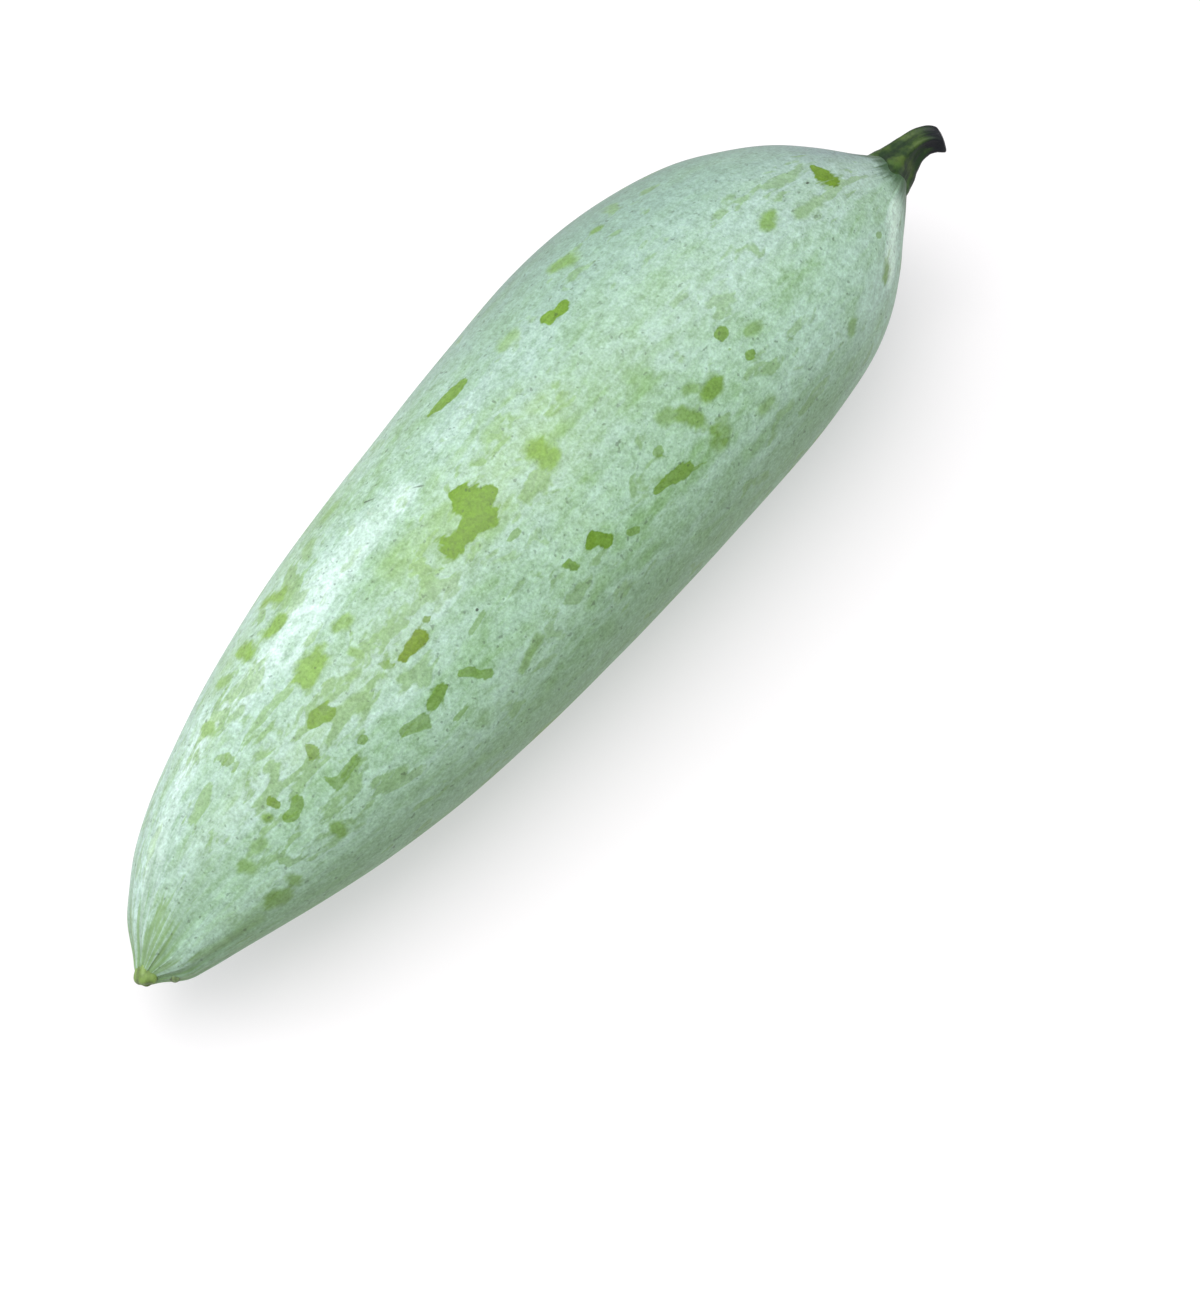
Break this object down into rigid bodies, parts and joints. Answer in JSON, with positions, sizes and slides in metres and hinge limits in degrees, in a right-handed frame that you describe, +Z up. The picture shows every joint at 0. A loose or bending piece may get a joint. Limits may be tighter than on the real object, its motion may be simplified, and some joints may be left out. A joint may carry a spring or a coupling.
{
  "type": "snake gourd",
  "caption": "Short, plump snake gourd lying on its pressed belly, tapering to a blunt blossom tip and necking in to a hooked stub of stalk.",
  "frame": {"origin": "centre of the bounding box's underside, on the plane that the belly rests on", "axes": "+X along the fruit from the blossom tip to the stalk, +Y to the side that the fruit bows towards, +Z up"},
  "size_m": [0.236, 0.0674, 0.0652],
  "materials": {
    "rind": "waxy pale green rind with a whitish bloom, fine grain, soft blotches and olive green rub marks, satin",
    "stalk": "dark green ribbed stalk, olive on the crown, drying to purplish black at the edges and the cut"
  },
  "bodies": {
    "root": {"fruit": "rind", "stalk": "stalk"}
  },
  "joints": []
}
